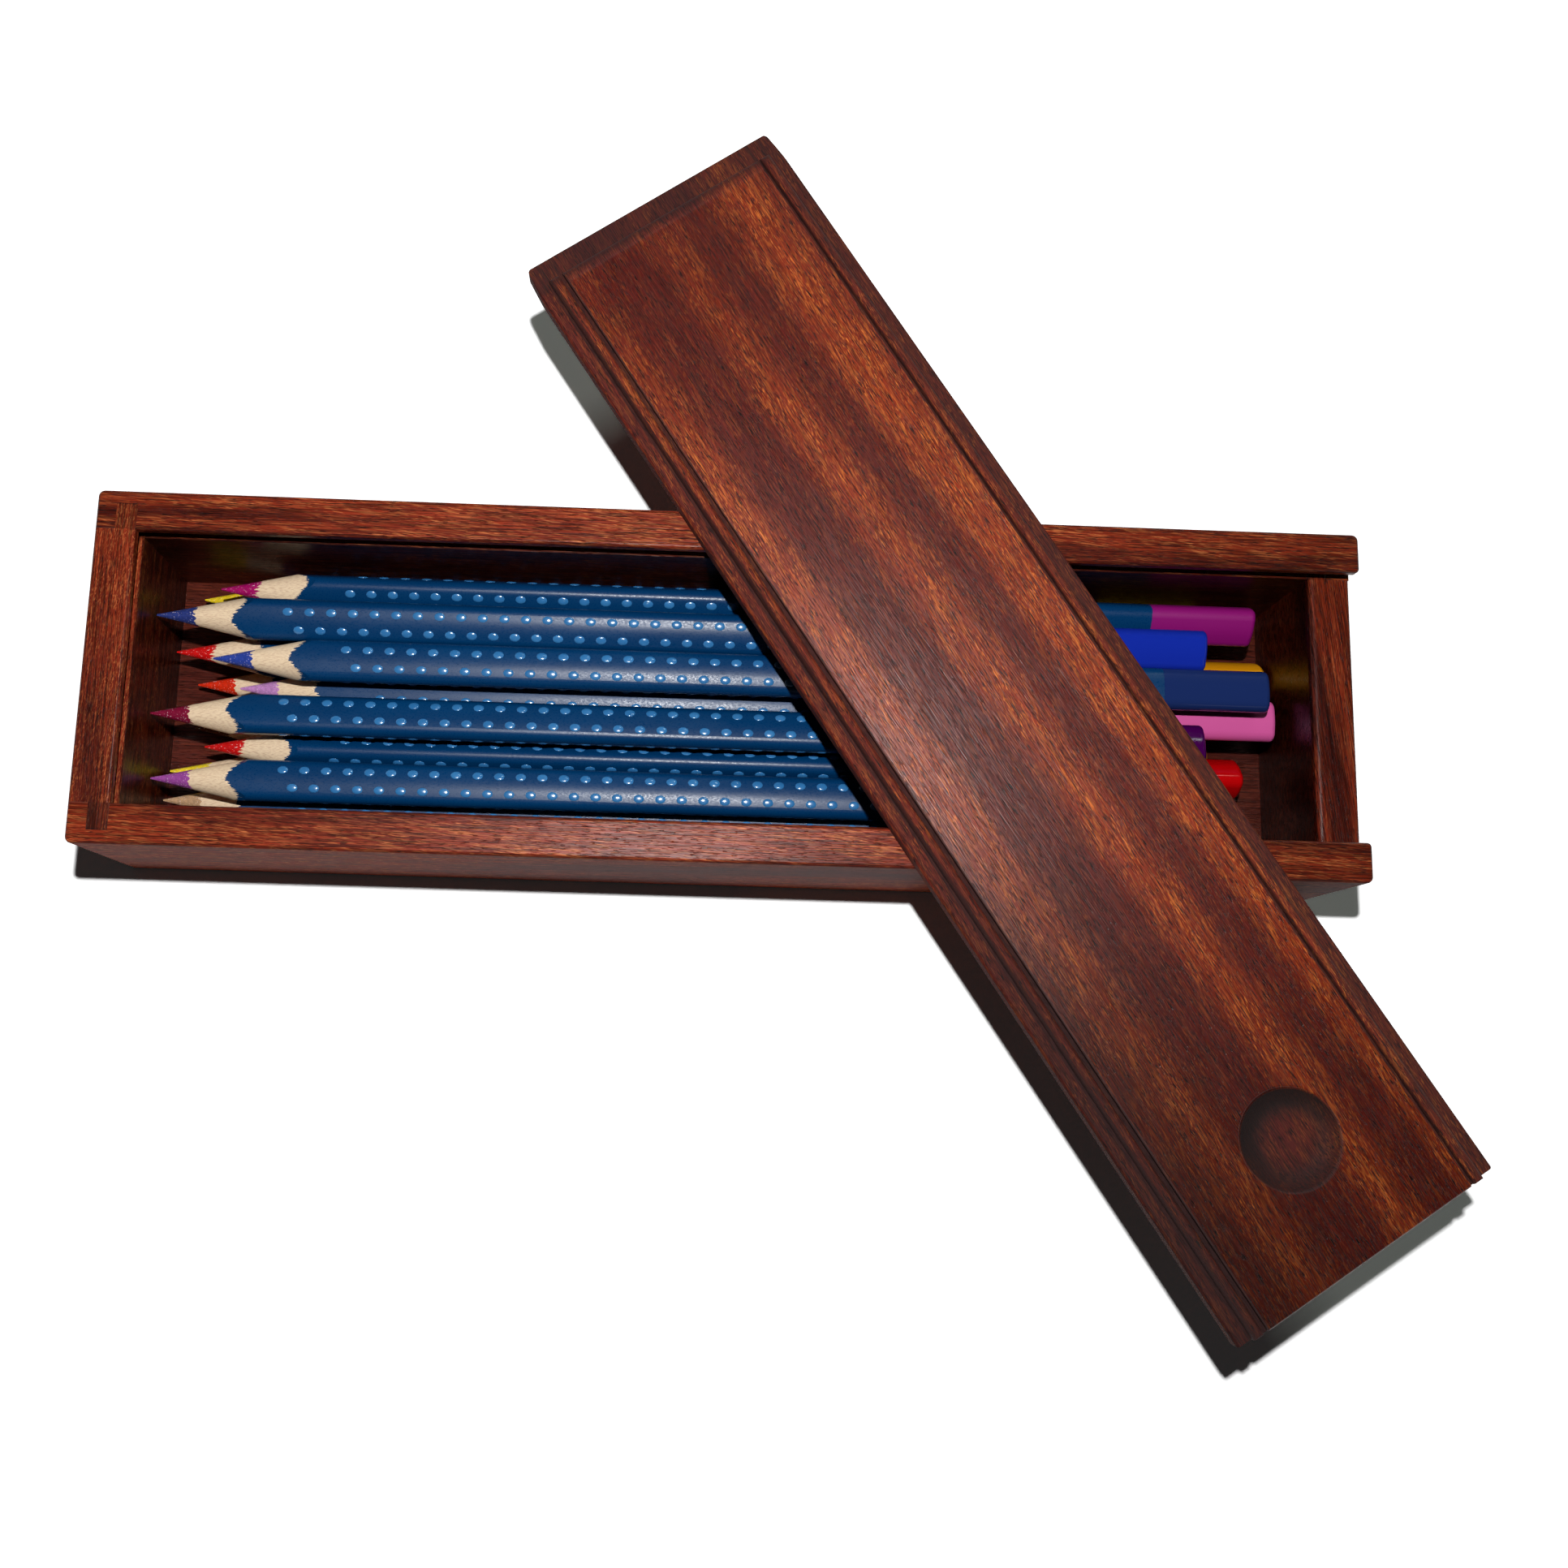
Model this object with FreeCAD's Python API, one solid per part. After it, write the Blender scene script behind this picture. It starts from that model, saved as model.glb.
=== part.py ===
import FreeCAD, Part
import math
import os

# Pencil box with a sliding lid, open, with its coloured pencils in it.
# Lengths are in millimetres and angles in degrees.
# X runs along the box, from the closed back end (low) to the front end, where the lid slides out (high).
# Y runs across the box, from the near side (low) to the far side (high), and Z runs up.
# The origin is the centre of the box's underside.

# The box is made round its pencils: its inside is a pencil's length and a little room long,
# and as wide as a full bottom row of pencils would be, lying ridge up and face up in turn
box_height = 34.0
length_room = 15.6
bottom_row_count = 8
bottom_row_pitch_share = 0.753  # of a pencil's width, from one pencil to the next
side_wall_thick = 6.4
back_wall_thick = 6.5
front_wall_thick = 6.9
floor_thick = 3.4

# Corner joints and the floor's seat
corner_tongue_wide = 3.3  # along the box, on the inner side of the end walls
corner_tongue_long = 4.3  # into the side walls
floor_rebate = 3.0  # how far the floor is let into the side walls

# Rounded edges of the walls
wall_corner_round = 1.0
lip_corner_round = 0.7
rim_round = 0.55
front_inner_round = 1.2
front_outer_round = 0.5

# Lid grooves
lip_height = 1.6
groove_height = 3.2
side_groove_depth = 2.05
back_groove_depth = 3.1

# How much smaller the lid is than its grooves
groove_play = 0.4
side_play = 0.25
back_play = 0.3
lip_play = 0.7
shoulder_play = 1.1
lid_sunk = 0.1

# Lid
bead_wide = 1.8
quirk_wide = 0.65  # the narrow sunk line between bead and panel
quirk_below_bead = 0.1
tongue_round = 0.3
shoulder_round = 1.2
lid_end_round = 0.4
far_lead_long = 6.0  # the far corners are eased, to enter the grooves
far_lead_in = 0.6
far_corner_round = 1.0
thumb_corner_round = 0.5
dish_wide = 15.5
dish_deep = 2.0
dish_hollow_round = 4.0
dish_edge_round = 0.35
dish_from_end = 20.5

# Where the open lid lies on the rims
lid_rest_x = 40.57
lid_rest_y = -2.01
lid_rest_turn = -55.71
lid_rest_gap = 0.1

# Pencils
pencil_length = 175.0
pencil_reach = 2.95  # from the axis to the middle of a face
pencil_corner_round = 1.7
pencil_corner_share = 0.82  # how near the corners are to those of a section with flat faces
lead_wide = 3.3
lead_bare = 6.8
tip_wide = 0.3
butt_round = 0.9
lead_end_cover = 0.6
pencil_gap = 0.3
end_gap = 0.3

# Each pencil's name, its turn about its own axis, and its place across and along the box.
# At no turn a flat face is up. Places are shares of the room that a pencil has, from the middle across
# and from the back wall along. The pencils are laid in this order, each on those before it.
pencil_place_shares = [
    ("yellow", 180, 0.986, 0.27),
    ("orange", 180, 0.537, 0.98),
    ("brown", 180, -0.259, 0.28),
    ("lemon", 180, -0.678, 0.04),
    ("green", -5, 0.766, 0.20),
    ("vermilion", 0, 0.146, 0.29),
    ("ochre", 1, -0.978, 0.05),
    ("magenta", 164, 0.938, 0.64),
    ("scarlet", 175, 0.380, 0.13),
    ("pink", 2, 0.038, 0.90),
    ("red", 190, -0.502, 0.53),
    ("indigo", 19, 0.625, 0.02),
    ("blue", -1, 0.229, 0.69),
    ("purple", -16, -0.265, 0.01),
    ("orchid", -4, -0.834, 0.02),
]

# Working values
overrun = 1.0  # how far cutting shapes run past what they cut
match = 0.001  # how close two coordinates are to count as the same
fillet_share = 0.45  # the most of a wall that a rounded edge takes
sharpener_share = 1.1  # how much wider than a pencil's corners its sharpening cone ends

# A pencil's section has three bulging faces, parts of large circles, and three small corner rounds.
# The circles of a face and a corner touch where one runs into the other.
corner_inset = pencil_reach - pencil_corner_round
corner_centre = 2 * corner_inset * pencil_corner_share
face_centre = corner_inset * (4 * pencil_corner_share ** 2 - 1) / (2 * (1 - pencil_corner_share))
face_round = face_centre + pencil_reach
face_half_angle = math.degrees(math.atan2(
    corner_centre * math.sin(math.radians(60)),
    corner_centre * math.cos(math.radians(60)) + face_centre))
pencil_corner_reach = corner_centre + pencil_corner_round
pencil_half_width = corner_centre * math.cos(math.radians(30)) + pencil_corner_round

# The room that the pencils have, along the box and from its middle across
end_play = length_room - 2 * end_gap
room_across = pencil_half_width * bottom_row_pitch_share * (bottom_row_count - 1)

# Planes of the box
inner_half = room_across + pencil_half_width + pencil_gap
outer_half = inner_half + side_wall_thick
box_length = back_wall_thick + pencil_length + length_room + front_wall_thick
back_end = -box_length / 2
front_end = box_length / 2
back_inner = back_end + back_wall_thick
front_inner = front_end - front_wall_thick
back_tongue_start = back_inner - corner_tongue_wide
front_tongue_end = front_inner + corner_tongue_wide
tongue_half = inner_half + corner_tongue_long
ledge_top = box_height - lip_height - groove_height

# Sizes of the lid
lid_length = box_length - back_wall_thick + back_groove_depth - back_play
lid_half = inner_half + side_groove_depth - side_play
lid_thick = lip_height + groove_height - lid_sunk
lid_tongue_thick = groove_height - groove_play
bead_outer = inner_half - lip_play
bead_inner = bead_outer - bead_wide
panel_half = bead_inner - quirk_wide
lid_shoulder = back_groove_depth - back_play + shoulder_play


def block(low_x, high_x, low_y, high_y, low_z, high_z):
    corner = FreeCAD.Vector(low_x, low_y, low_z)
    return Part.makeBox(high_x - low_x, high_y - low_y, high_z - low_z, corner)


def edges_in(solid, x=None, y=None, z=None):
    # The edges whose ends all lie in the planes given
    found = []
    for edge in solid.Edges:
        wanted = [(x, "x"), (y, "y"), (z, "z")]
        planes = [(value, axis) for value, axis in wanted if value is not None]
        points = [vertex.Point for vertex in edge.Vertexes]
        if all(abs(getattr(point, axis) - value) < match for point in points for value, axis in planes):
            found.append(edge)
    return found


def without(edges, left_out):
    return [edge for edge in edges if not any(edge.isSame(other) for other in left_out)]


def rounded(solid, radius, edges, *walls):
    # A rounded edge takes no more than its share of the walls beside it
    fitting = min([radius] + [fillet_share * wall for wall in walls])
    return solid.makeFillet(fitting, edges)


def extruded(points_and_arcs, direction):
    # A closed outline of lines and arcs, each arc given by its middle point in a nested list
    edges = []
    count = len(points_and_arcs)
    start = points_and_arcs[0]
    index = 1
    while index <= count:
        step = points_and_arcs[index % count]
        if isinstance(step, list):
            end = points_and_arcs[(index + 1) % count]
            edges.append(Part.Arc(start, step[0], end).toShape())
            index += 2
        else:
            end = step
            edges.append(Part.LineSegment(start, end).toShape())
            index += 1
        start = end
    return Part.Face(Part.Wire(edges)).extrude(direction)


def corner_arc(centre_a, centre_b, radius, middle_angle, at):
    # The middle point of a quarter round
    angle = math.radians(middle_angle)
    return [at(centre_a + radius * math.cos(angle), centre_b + radius * math.sin(angle))]


def far_side_wall():
    lower = block(back_end, front_end, inner_half, outer_half, 0, ledge_top)
    outer_corners = edges_in(lower, x=back_end, y=outer_half) + edges_in(lower, x=front_end, y=outer_half)
    lower = rounded(lower, wall_corner_round, outer_corners, side_wall_thick)

    # Above the ledge the inner edge is rounded only where no end wall meets it
    upper = block(back_inner, front_end, inner_half, outer_half, ledge_top, box_height)
    upper = rounded(upper, wall_corner_round, edges_in(upper, x=front_end, y=outer_half), side_wall_thick)
    upper = rounded(upper, lip_corner_round, edges_in(upper, x=front_end, y=inner_half), side_wall_thick)
    rim = without(edges_in(upper, z=box_height), edges_in(upper, x=back_inner))
    upper = rounded(upper, rim_round, rim, lip_height, side_wall_thick)

    corner = block(back_end, back_inner, inner_half, outer_half, ledge_top, box_height)
    corner = rounded(corner, wall_corner_round, edges_in(corner, x=back_end, y=outer_half), side_wall_thick)
    joined = edges_in(corner, x=back_inner) + edges_in(corner, y=inner_half)
    rim = without(edges_in(corner, z=box_height), joined)
    corner = rounded(corner, rim_round, rim, lip_height, side_wall_thick)

    wall = lower.fuse([upper, corner]).removeSplitter()
    groove_end = inner_half + side_groove_depth
    housings = [
        block(back_inner, front_end + overrun, inner_half - overrun, groove_end,
              ledge_top, ledge_top + groove_height),
        block(back_tongue_start, back_inner, inner_half - overrun, tongue_half,
              floor_thick, box_height + overrun),
        block(front_inner, front_tongue_end, inner_half - overrun, tongue_half,
              floor_thick, ledge_top),
        block(back_tongue_start, front_tongue_end, inner_half - overrun, inner_half + floor_rebate,
              -overrun, floor_thick),
    ]
    return wall.cut(housings)


def near_side_wall():
    return far_side_wall().mirror(FreeCAD.Vector(0, 0, 0), FreeCAD.Vector(0, 1, 0))


def back_wall():
    wall = block(back_end, back_inner, -inner_half, inner_half, 0, box_height)
    rim = edges_in(wall, x=back_end, z=box_height) + edges_in(wall, x=back_inner, z=box_height)
    wall = rounded(wall, rim_round, rim, lip_height, back_wall_thick)
    far_tongue = block(back_tongue_start, back_inner, inner_half, tongue_half, floor_thick, box_height)
    near_tongue = block(back_tongue_start, back_inner, -tongue_half, -inner_half, floor_thick, box_height)
    wall = wall.fuse([far_tongue, near_tongue]).removeSplitter()
    groove_half = inner_half + side_groove_depth
    groove = block(back_inner - back_groove_depth, back_inner + overrun, -groove_half, groove_half,
                   ledge_top, ledge_top + groove_height)
    floor_seat = block(back_tongue_start, back_inner + overrun, -inner_half - overrun, inner_half + overrun,
                       -overrun, floor_thick)
    return wall.cut([groove, floor_seat])


def front_wall():
    wall = block(front_inner, front_end, -inner_half, inner_half, 0, ledge_top)
    wall = rounded(wall, front_inner_round, edges_in(wall, x=front_inner, z=ledge_top), front_wall_thick)
    wall = rounded(wall, front_outer_round, edges_in(wall, x=front_end, z=ledge_top), front_wall_thick)
    far_tongue = block(front_inner, front_tongue_end, inner_half, tongue_half, floor_thick, ledge_top)
    near_tongue = block(front_inner, front_tongue_end, -tongue_half, -inner_half, floor_thick, ledge_top)
    wall = wall.fuse([far_tongue, near_tongue]).removeSplitter()
    floor_seat = block(front_inner - overrun, front_tongue_end, -inner_half - overrun, inner_half + overrun,
                       -overrun, floor_thick)
    return wall.cut(floor_seat)


def floor():
    seat_half = inner_half + floor_rebate
    return block(back_tongue_start, front_tongue_end, -seat_half, seat_half, 0, floor_thick)


def lid_across():
    # Half of the lid's section, from the centre line to the tongue, doubled by its mirror image
    def at(across, up):
        return FreeCAD.Vector(0, across, up)

    bead_half = bead_wide / 2
    bead_spring = lid_thick - bead_half
    quirk_bottom = bead_spring - quirk_below_bead
    edge_in = lid_half - tongue_round
    outline = [
        at(0, 0),
        at(edge_in, 0),
        corner_arc(edge_in, tongue_round, tongue_round, -45, at),
        at(lid_half, tongue_round),
        at(lid_half, lid_tongue_thick - tongue_round),
        corner_arc(edge_in, lid_tongue_thick - tongue_round, tongue_round, 45, at),
        at(edge_in, lid_tongue_thick),
        at(bead_outer, lid_tongue_thick),
        at(bead_outer, bead_spring),
        [at(bead_outer - bead_half, lid_thick)],
        at(bead_inner, bead_spring),
        at(bead_inner, quirk_bottom),
        at(panel_half, quirk_bottom),
        at(panel_half, lid_thick),
        at(0, lid_thick),
    ]
    half = extruded(outline, FreeCAD.Vector(lid_length, 0, 0))
    other = half.mirror(FreeCAD.Vector(0, 0, 0), FreeCAD.Vector(0, 1, 0))
    return half.fuse(other).removeSplitter()


def lid_along():
    # The lid seen from its side: tongue and shoulder at the far end, square at the thumb end
    def at(along, up):
        return FreeCAD.Vector(along, -lid_half - overrun, up)

    thumb_in = lid_length - lid_end_round
    outline = [
        at(tongue_round, 0),
        at(thumb_in, 0),
        corner_arc(thumb_in, lid_end_round, lid_end_round, -45, at),
        at(lid_length, lid_end_round),
        at(lid_length, lid_thick - lid_end_round),
        corner_arc(thumb_in, lid_thick - lid_end_round, lid_end_round, 45, at),
        at(thumb_in, lid_thick),
        at(lid_shoulder + shoulder_round, lid_thick),
        corner_arc(lid_shoulder + shoulder_round, lid_thick - shoulder_round, shoulder_round, 135, at),
        at(lid_shoulder, lid_thick - shoulder_round),
        at(lid_shoulder, lid_tongue_thick),
        at(tongue_round, lid_tongue_thick),
        corner_arc(tongue_round, lid_tongue_thick - tongue_round, tongue_round, 135, at),
        at(0, lid_tongue_thick - tongue_round),
        at(0, tongue_round),
        corner_arc(tongue_round, tongue_round, tongue_round, 225, at),
    ]
    return extruded(outline, FreeCAD.Vector(0, 2 * (lid_half + overrun), 0))


def lid_plan():
    # The lid seen from above, eased at its far corners
    far_half = lid_half - far_lead_in
    outline = [
        FreeCAD.Vector(0, -far_half, -overrun),
        FreeCAD.Vector(far_lead_long, -lid_half, -overrun),
        FreeCAD.Vector(lid_length, -lid_half, -overrun),
        FreeCAD.Vector(lid_length, lid_half, -overrun),
        FreeCAD.Vector(far_lead_long, lid_half, -overrun),
        FreeCAD.Vector(0, far_half, -overrun),
    ]
    plan = extruded(outline, FreeCAD.Vector(0, 0, lid_thick + 2 * overrun))
    far_corners = edges_in(plan, x=0, y=-far_half) + edges_in(plan, x=0, y=far_half)
    plan = rounded(plan, far_corner_round, far_corners, far_lead_long)
    thumb_corners = edges_in(plan, x=lid_length, y=-lid_half) + edges_in(plan, x=lid_length, y=lid_half)
    return rounded(plan, thumb_corner_round, thumb_corners, lid_half)


def thumb_dish():
    # A hollow with a level bottom, turned about an upright axis
    def at(out, up):
        return FreeCAD.Vector(out, 0, up)

    rise = dish_hollow_round - dish_deep
    wall_run = math.sqrt(dish_hollow_round ** 2 - rise ** 2)
    bottom_half = dish_wide / 2 - wall_run
    half_turn = math.degrees(math.acos(rise / dish_hollow_round)) / 2
    bottom = lid_thick - dish_deep
    edges = [
        Part.LineSegment(at(0, bottom), at(bottom_half, bottom)).toShape(),
        Part.Arc(
            at(bottom_half, bottom),
            corner_arc(bottom_half, bottom + dish_hollow_round, dish_hollow_round, half_turn - 90, at)[0],
            at(dish_wide / 2, lid_thick)).toShape(),
        Part.LineSegment(at(dish_wide / 2, lid_thick), at(dish_wide / 2, lid_thick + overrun)).toShape(),
        Part.LineSegment(at(dish_wide / 2, lid_thick + overrun), at(0, lid_thick + overrun)).toShape(),
        Part.LineSegment(at(0, lid_thick + overrun), at(0, bottom)).toShape(),
    ]
    face = Part.Face(Part.Wire(edges))
    dish = face.revolve(FreeCAD.Vector(0, 0, 0), FreeCAD.Vector(0, 0, 1), 360)
    dish.translate(FreeCAD.Vector(lid_length - dish_from_end, 0, 0))
    return dish


def lid():
    # Made with its far end at the origin, then laid on the rims
    panel = lid_across().common(lid_along()).common(lid_plan())
    panel = panel.cut(thumb_dish())
    dish_edge = [edge for edge in edges_in(panel, z=lid_thick)
                 if isinstance(edge.Curve, Part.Circle) and abs(edge.Curve.Radius - dish_wide / 2) < match]
    panel = rounded(panel, dish_edge_round, dish_edge, dish_deep)
    panel.translate(FreeCAD.Vector(-lid_length / 2, 0, 0))
    panel.rotate(FreeCAD.Vector(0, 0, 0), FreeCAD.Vector(0, 0, 1), lid_rest_turn)
    panel.translate(FreeCAD.Vector(lid_rest_x, lid_rest_y, box_height + lid_rest_gap))
    return panel


def reach_towards(angle, turn):
    # How far a pencil at this turn reaches from its axis in the direction of the angle
    from_face = (angle - turn - 90) % 120
    off_normal = min(from_face, 120 - from_face)
    if off_normal <= face_half_angle:
        return face_round - face_centre * math.cos(math.radians(off_normal))
    return pencil_corner_round + corner_centre * math.cos(math.radians(60 - off_normal))


def resting_height(across, turn, laid):
    # The lowest place of a pencil that comes down on the floor and on those already laid
    height = floor_thick + pencil_gap + reach_towards(270, turn)
    for other_across, other_height, other_turn in laid:
        clear = []
        for angle in range(1, 180):
            out = math.cos(math.radians(angle))
            up = math.sin(math.radians(angle))
            apart = pencil_gap + reach_towards(angle, other_turn) + reach_towards(angle + 180, turn)
            clear.append((apart - (across - other_across) * out) / up)
        if min(clear) > 0:
            height = max(height, other_height + min(clear))
    return height


def pencil_section():
    def at(angle, radius, centre_angle, centre_reach):
        centre = math.radians(centre_angle)
        around = math.radians(angle)
        return FreeCAD.Vector(0, centre_reach * math.cos(centre) + radius * math.cos(around),
                              centre_reach * math.sin(centre) + radius * math.sin(around))

    edges = []
    for normal in (90, 210, 330):
        face_end = normal + face_half_angle
        corner_end = normal + 120 - face_half_angle
        edges.append(Part.Arc(
            at(normal - face_half_angle, face_round, normal + 180, face_centre),
            at(normal, face_round, normal + 180, face_centre),
            at(face_end, face_round, normal + 180, face_centre)).toShape())
        edges.append(Part.Arc(
            at(face_end, pencil_corner_round, normal + 60, corner_centre),
            at(normal + 60, pencil_corner_round, normal + 60, corner_centre),
            at(corner_end, pencil_corner_round, normal + 60, corner_centre)).toShape())
    return Part.Face(Part.Wire(edges))


def pencil_lead():
    along = FreeCAD.Vector(1, 0, 0)
    point = Part.makeCone(tip_wide / 2, lead_wide / 2, lead_bare, FreeCAD.Vector(0, 0, 0), along)
    rod_length = pencil_length - lead_bare - lead_end_cover
    rod = Part.makeCylinder(lead_wide / 2, rod_length, FreeCAD.Vector(lead_bare, 0, 0), along)
    return point.fuse(rod).removeSplitter()


def pencil_casing():
    along = FreeCAD.Vector(1, 0, 0)
    stick = pencil_section().extrude(FreeCAD.Vector(pencil_length, 0, 0))
    stick = rounded(stick, butt_round, edges_in(stick, x=pencil_length), pencil_corner_round)
    cone_slope = (lead_wide - tip_wide) / 2 / lead_bare
    wide_end = sharpener_share * pencil_corner_reach
    cone_length = (wide_end - tip_wide / 2) / cone_slope
    cone = Part.makeCone(tip_wide / 2, wide_end, cone_length, FreeCAD.Vector(0, 0, 0), along)
    sleeve = Part.makeCylinder(wide_end, pencil_length - cone_length + overrun,
                               FreeCAD.Vector(cone_length, 0, 0), along)
    bore = Part.makeCylinder(lead_wide / 2, pencil_length - lead_end_cover,
                             FreeCAD.Vector(0, 0, 0), along)
    return stick.common(cone.fuse(sleeve)).cut(bore)


def placed(solid, turn, place):
    copy = solid.copy()
    copy.rotate(FreeCAD.Vector(0, 0, 0), FreeCAD.Vector(1, 0, 0), turn)
    copy.translate(place)
    return copy


def pencil_nodes():
    casing = pencil_casing()
    lead = pencil_lead()
    laid = []
    nodes = {}
    for name, turn, across_share, along_share in pencil_place_shares:
        across = across_share * room_across
        height = resting_height(across, turn, laid)
        laid.append((across, height, turn))
        tip = back_inner + end_gap + along_share * end_play
        place = FreeCAD.Vector(tip, across, height)
        print("pencil", name, "tip", round(tip, 2), "across", round(across, 2), "height", round(height, 2))
        nodes[name + "_pencil_casing"] = placed(casing, turn, place)
        nodes[name + "_pencil_lead"] = placed(lead, turn, place)
    return nodes


def all_nodes():
    nodes = {
        "far_side_wall": far_side_wall(),
        "near_side_wall": near_side_wall(),
        "back_wall": back_wall(),
        "front_wall": front_wall(),
        "floor": floor(),
        "lid": lid(),
    }
    nodes.update(pencil_nodes())
    return nodes


os.makedirs("parts", exist_ok=True)
for node, shape in all_nodes().items():
    print(node, "solids", len(shape.Solids), "valid", shape.isValid(), "volume", round(shape.Volume, 1))
    shape.exportStep("parts/" + node + ".step")
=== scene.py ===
# Pencil box with a sliding lid, laid open, with its coloured pencils in it.
# Looks only: the boards, casings and leads are the frame's own solids, and the grip bumps are added here.
import math
import bpy
from mathutils import Matrix, Vector


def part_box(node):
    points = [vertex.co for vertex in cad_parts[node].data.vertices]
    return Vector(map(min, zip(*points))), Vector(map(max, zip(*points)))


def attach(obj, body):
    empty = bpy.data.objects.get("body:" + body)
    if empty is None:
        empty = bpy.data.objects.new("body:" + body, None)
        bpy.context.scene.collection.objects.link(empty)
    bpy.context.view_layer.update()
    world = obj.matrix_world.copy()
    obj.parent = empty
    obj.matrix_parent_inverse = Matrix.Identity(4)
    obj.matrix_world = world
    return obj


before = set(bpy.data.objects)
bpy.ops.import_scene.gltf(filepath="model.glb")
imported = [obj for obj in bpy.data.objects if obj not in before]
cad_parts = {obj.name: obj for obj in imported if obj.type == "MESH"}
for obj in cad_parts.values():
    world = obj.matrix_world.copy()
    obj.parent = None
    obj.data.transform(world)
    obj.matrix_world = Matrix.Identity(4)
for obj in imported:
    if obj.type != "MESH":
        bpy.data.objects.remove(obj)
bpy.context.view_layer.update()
mm = 0.001
print("frame loaded,", len(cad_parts), "nodes")


# Small helpers for node trees

def addNode(tree, kind, values=None, **options):
    # values fills or links the inputs, by name or by number
    node = tree.nodes.new(kind)
    for option, value in options.items():
        setattr(node, option, value)
    for key, value in (values or {}).items():
        if isinstance(value, bpy.types.NodeSocket):
            tree.links.new(value, node.inputs[key])
        else:
            node.inputs[key].default_value = value
    return node


def calc(tree, operation, *values):
    return addNode(tree, "ShaderNodeMath", dict(enumerate(values)), operation=operation).outputs[0]


def vectorCalc(tree, operation, *values):
    node = addNode(tree, "ShaderNodeVectorMath", dict(enumerate(values)), operation=operation)
    return node.outputs["Value" if operation == "LENGTH" else "Vector"]


def softStep(tree, value, low, high, toLow=0.0, toHigh=1.0):
    node = addNode(tree, "ShaderNodeMapRange", {
        "Value": value, "From Min": low, "From Max": high, "To Min": toLow, "To Max": toHigh},
        interpolation_type="SMOOTHSTEP")
    return node.outputs["Result"]


def evenStep(tree, value, low, high):
    node = addNode(tree, "ShaderNodeMapRange", {"Value": value, "From Min": low, "From Max": high})
    return node.outputs["Result"]


def mixColour(tree, share, first, second):
    return addNode(tree, "ShaderNodeMix", {0: share, 6: first, 7: second}, data_type="RGBA").outputs[2]


def mixValue(tree, share, first, second):
    return addNode(tree, "ShaderNodeMix", {0: share, 2: first, 3: second}, data_type="FLOAT").outputs[0]


def splitAxes(tree, vector):
    return addNode(tree, "ShaderNodeSeparateXYZ", {0: vector}).outputs


def joinAxes(tree, **axes):
    values = {name.upper(): value for name, value in axes.items()}
    return addNode(tree, "ShaderNodeCombineXYZ", values).outputs[0]


def scaled(tree, colour, factor):
    node = addNode(tree, "ShaderNodeVectorMath", {0: colour, "Scale": factor}, operation="SCALE")
    return node.outputs["Vector"]


def noise(tree, vector, size, detail=2.0, roughness=0.5):
    # size is the length of a patch along each axis, in the vector's own unit
    node = addNode(tree, "ShaderNodeTexNoise", {
        "Vector": vectorCalc(tree, "DIVIDE", vector, size), "Scale": 1.0, "Detail": detail,
        "Roughness": roughness})
    return node.outputs["Fac"]


def srgb(code):
    # "#6b2a17" as the linear colour that a shader takes
    parts = [int(code[i:i + 2], 16) / 255 for i in (1, 3, 5)]
    return tuple(p / 12.92 if p <= 0.04045 else ((p + 0.055) / 1.055) ** 2.4 for p in parts) + (1.0,)


def newGroup(name, inputs, outputs, kind="ShaderNodeTree"):
    # inputs are (name, socket type, default), outputs are (name, socket type)
    tree = bpy.data.node_groups.new(name, kind)
    for title, socketType, default in inputs:
        socket = tree.interface.new_socket(title, in_out="INPUT", socket_type=socketType)
        if default is not None:
            socket.default_value = default
    for title, socketType in outputs:
        tree.interface.new_socket(title, in_out="OUTPUT", socket_type=socketType)
    return tree, tree.nodes.new("NodeGroupInput").outputs, tree.nodes.new("NodeGroupOutput").inputs


def groupNode(tree, group, values):
    return addNode(tree, "ShaderNodeGroup", values, node_tree=group).outputs


def newMaterial(name, **plain):
    # plain are the sockets that are the same all over the surface
    material = bpy.data.materials.new(name)
    material.use_nodes = True
    tree = material.node_tree
    shader = tree.nodes["Principled BSDF"]
    for socket, value in plain.items():
        shader.inputs[socket.replace("_", " ")].default_value = value
    return material, tree, shader


def finishMaterial(tree, shader, colour, roughness, height, look):
    tree.links.new(colour, shader.inputs["Base Color"])
    tree.links.new(roughness, shader.inputs["Roughness"])
    bump = addNode(tree, "ShaderNodeBump", {
        "Strength": look["reliefStrength"], "Distance": look["reliefDepth"] * mm, "Height": height})
    tree.links.new(bump.outputs[0], shader.inputs["Normal"])


def addObject(name, data):
    thing = bpy.data.objects.new(name, data)
    bpy.context.scene.collection.objects.link(thing)
    return thing


def dress(node, material):
    # A CAD node gets its material in every slot
    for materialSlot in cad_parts[node].material_slots:
        materialSlot.link = "OBJECT"
        materialSlot.material = material


# Wood

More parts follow.
